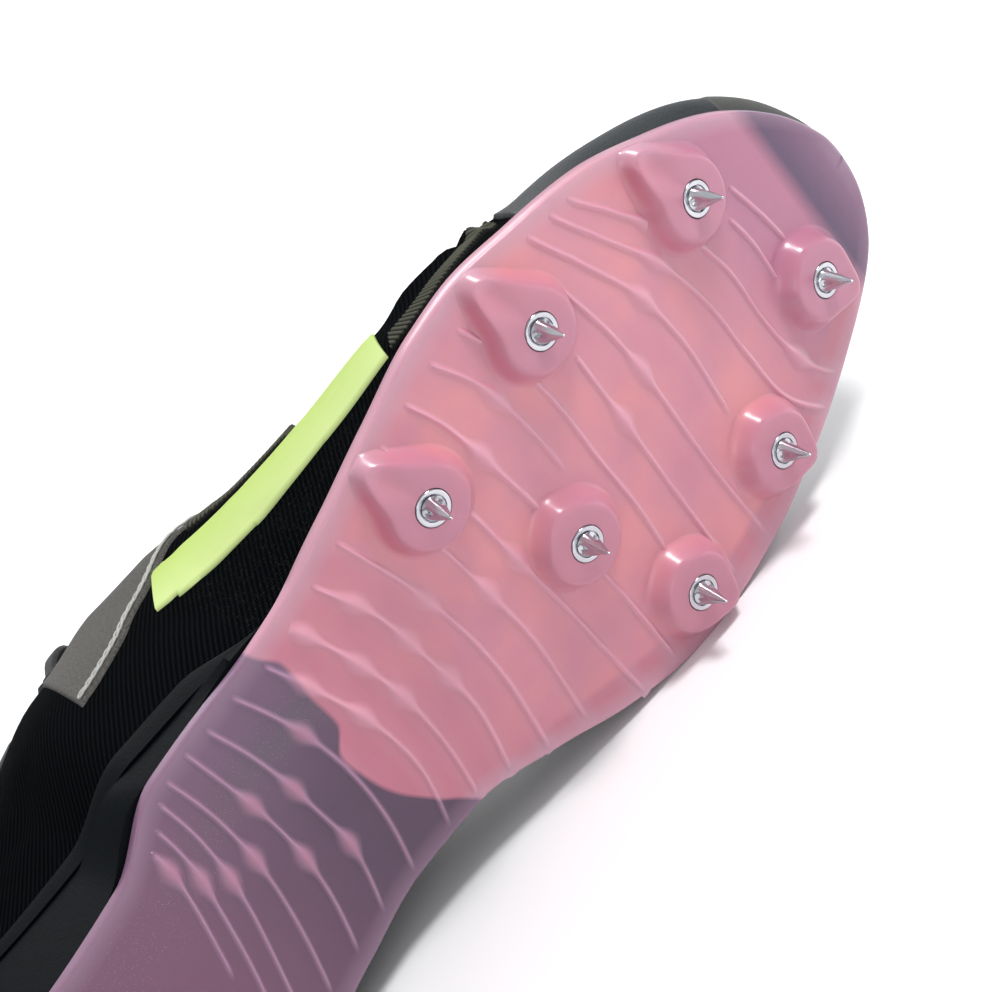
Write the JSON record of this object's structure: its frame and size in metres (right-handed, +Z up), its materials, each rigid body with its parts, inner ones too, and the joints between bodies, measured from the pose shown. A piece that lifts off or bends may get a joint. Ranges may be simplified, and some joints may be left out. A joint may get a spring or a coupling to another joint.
{
  "type": "track spike shoe",
  "caption": "Right running shoe for the track: a knitted upper on a translucent ribbed sole plate with steel pins, lying on its side.",
  "frame": {"origin": "centre of the bounding box, at the floor that the shoe lies on", "axes": "+Z up from the floor, +Y from the heel to the toe, +X the way the sole faces; the shoe lies on its medial side"},
  "size_m": [0.0944, 0.2768, 0.094],
  "materials": {
    "plate": "translucent pink, gloss",
    "cushion": "smooth",
    "foam": "matte foam skin",
    "knit": "fine woven, matte",
    "film": "smooth satin film",
    "bumper": "satin",
    "lining": "heather textile",
    "lace": "flat woven",
    "steel": "bright steel"
  },
  "bodies": {
    "root": {"ankle_panel": "lining", "eyestay": "film", "forefoot_pad": "cushion", "insole": "lining", "laces": "lace", "midsole": "foam", "outsole_plate": "plate", "side_overlay": "film", "spike_1": "steel", "spike_2": "steel", "spike_3": "steel", "spike_4": "steel", "spike_5": "steel", "spike_6": "steel", "spike_7": "steel", "toe_bumper": "bumper", "tongue": "lining", "upper": "knit"}
  },
  "joints": []
}
